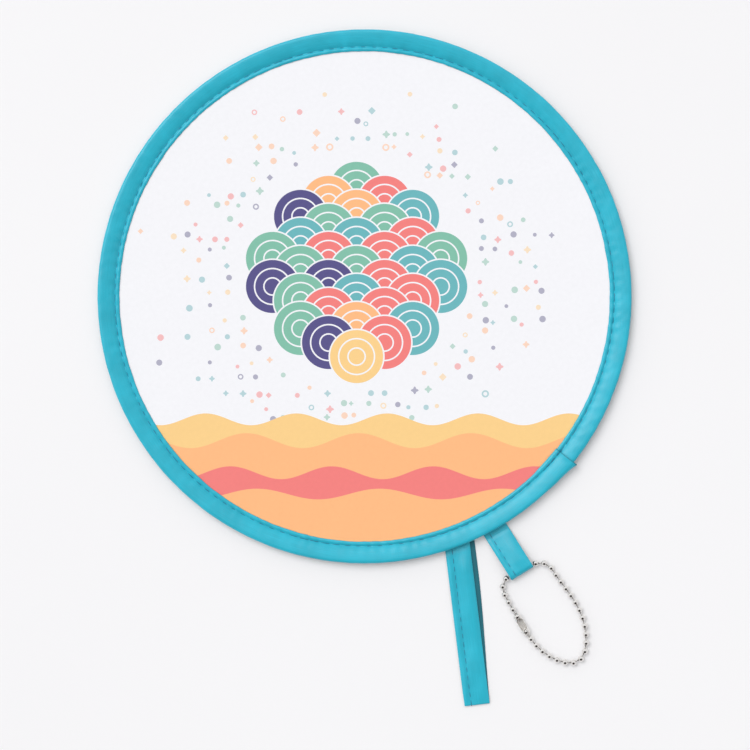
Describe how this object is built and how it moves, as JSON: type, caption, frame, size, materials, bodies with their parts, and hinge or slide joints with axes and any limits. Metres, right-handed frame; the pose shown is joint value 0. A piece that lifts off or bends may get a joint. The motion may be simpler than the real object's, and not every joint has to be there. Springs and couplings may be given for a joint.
{
  "type": "round folding fan",
  "caption": "Round pop-up hand fan: cloth disc held taut by a spring hoop in a satin binding, with a wrist strap loop and a bead chain in a short tab.",
  "frame": {"origin": "centre of the disc's print face", "axes": "+Z the way the print faces; -Y from the centre to the part of the rim where the strap and the tab leave it; +X towards the tab's side"},
  "size_m": [0.2, 0.2587, 0.0049],
  "materials": {
    "printed_cloth": "matte plain weave",
    "satin_tape": "satin sheen",
    "spring_steel": "bright strip",
    "nickel": "polished nickel plate"
  },
  "bodies": {
    "fan": {"fan_disc": "printed_cloth", "spring_hoop": "spring_steel", "hoop_ferrule": "spring_steel", "binding": "satin_tape", "strap_sewn_end": "satin_tape", "tab_sewn_end": "satin_tape"},
    "strap": {"strap_loop": "satin_tape"},
    "tab": {"tab_loop": "satin_tape"},
    "balls_01_02": {"chain_ball_01": "nickel", "chain_ball_02": "nickel"},
    "balls_03_12": {"chain_ball_03": "nickel", "chain_ball_04": "nickel", "chain_ball_05": "nickel", "chain_ball_06": "nickel", "chain_ball_07": "nickel", "chain_ball_08": "nickel", "chain_ball_09": "nickel", "chain_ball_10": "nickel", "chain_ball_11": "nickel", "chain_ball_12": "nickel"},
    "balls_13_16": {"chain_ball_13": "nickel", "chain_ball_14": "nickel", "chain_ball_15": "nickel", "chain_ball_16": "nickel"},
    "balls_17_18": {"chain_ball_17": "nickel", "chain_ball_18": "nickel"},
    "balls_19_20": {"chain_ball_19": "nickel", "chain_ball_20": "nickel"},
    "balls_21_22": {"chain_ball_21": "nickel", "chain_ball_22": "nickel"},
    "balls_23_25": {"chain_ball_23": "nickel", "chain_ball_24": "nickel", "chain_ball_25": "nickel"},
    "balls_26_27": {"chain_ball_26": "nickel", "chain_ball_27": "nickel"},
    "balls_28_29": {"chain_ball_28": "nickel", "chain_ball_29": "nickel"},
    "balls_30_32": {"chain_ball_30": "nickel", "chain_ball_31": "nickel", "chain_ball_32": "nickel"},
    "connector": {"chain_connector": "nickel"}
  },
  "joints": [
    {"name": "strap_fold", "type": "hinge", "parent": "fan", "child": "strap", "pos_m": [-0.00849, -0.10114, -0.0023], "axis": [0.9965, -0.0836, 0], "range_deg": [-90, 90]},
    {"name": "tab_fold", "type": "hinge", "parent": "fan", "child": "tab", "pos_m": [0.00759, -0.10122, -0.0023], "axis": [0.9972, 0.0748, 0], "range_deg": [-90, 90]},
    {"name": "chain_swing", "type": "hinge", "parent": "tab", "child": "balls_03_12", "pos_m": [0.0096, -0.11754, -0.001], "axis": [0.9925, 0.1219, 0], "range_deg": [-60, 60]},
    {"name": "ball_13_bend", "type": "hinge", "parent": "balls_03_12", "child": "balls_13_16", "pos_m": [0.02091, -0.12489, -0.00155], "axis": [0.9925, 0.1219, 0], "range_deg": [-35, 35]},
    {"name": "ball_17_bend", "type": "hinge", "parent": "balls_13_16", "child": "balls_17_18", "pos_m": [0.02318, -0.13738, -0.00155], "axis": [0.9925, 0.1219, 0], "range_deg": [-35, 35]},
    {"name": "ball_19_bend", "type": "hinge", "parent": "balls_17_18", "child": "balls_19_20", "pos_m": [0.02316, -0.14372, -0.00155], "axis": [0.9925, 0.1219, 0], "range_deg": [-35, 35]},
    {"name": "ball_21_bend", "type": "hinge", "parent": "balls_19_20", "child": "balls_21_22", "pos_m": [0.02167, -0.14989, -0.00155], "axis": [0.9925, 0.1219, 0], "range_deg": [-35, 35]},
    {"name": "ball_23_bend", "type": "hinge", "parent": "balls_21_22", "child": "balls_23_25", "pos_m": [0.01867, -0.15546, -0.00155], "axis": [0.9925, 0.1219, 0], "range_deg": [-35, 35]},
    {"name": "ball_26_bend", "type": "hinge", "parent": "balls_23_25", "child": "balls_26_27", "pos_m": [0.01017, -0.15609, -0.00155], "axis": [0.9925, 0.1219, 0], "range_deg": [-35, 35]},
    {"name": "ball_28_bend", "type": "hinge", "parent": "balls_26_27", "child": "balls_28_29", "pos_m": [0.00582, -0.15149, -0.00155], "axis": [0.9925, 0.1219, 0], "range_deg": [-35, 35]},
    {"name": "ball_30_bend", "type": "hinge", "parent": "balls_28_29", "child": "balls_30_32", "pos_m": [0.00307, -0.14579, -0.00155], "axis": [0.9925, 0.1219, 0], "range_deg": [-35, 35]},
    {"name": "ball_02_bend", "type": "hinge", "parent": "balls_03_12", "child": "balls_01_02", "pos_m": [0.00052, -0.1267, -0.00155], "axis": [0.9925, 0.1219, 0], "range_deg": [-35, 35]},
    {"name": "connector_bend", "type": "hinge", "parent": "balls_01_02", "child": "connector", "pos_m": [0.00113, -0.13302, -0.00125], "axis": [0.9925, 0.1219, 0], "range_deg": [-35, 35]}
  ],
  "couplings": [
    {"joint": "ball_13_bend", "follows": "chain_swing", "ratio": 0.08},
    {"joint": "ball_17_bend", "follows": "chain_swing", "ratio": 0.08},
    {"joint": "ball_19_bend", "follows": "chain_swing", "ratio": 0.08},
    {"joint": "ball_21_bend", "follows": "chain_swing", "ratio": 0.08},
    {"joint": "ball_23_bend", "follows": "chain_swing", "ratio": 0.08},
    {"joint": "ball_26_bend", "follows": "chain_swing", "ratio": -0.08},
    {"joint": "ball_28_bend", "follows": "chain_swing", "ratio": -0.08},
    {"joint": "ball_30_bend", "follows": "chain_swing", "ratio": -0.08},
    {"joint": "ball_02_bend", "follows": "chain_swing", "ratio": 0.0535},
    {"joint": "connector_bend", "follows": "chain_swing", "ratio": 0.025}
  ]
}
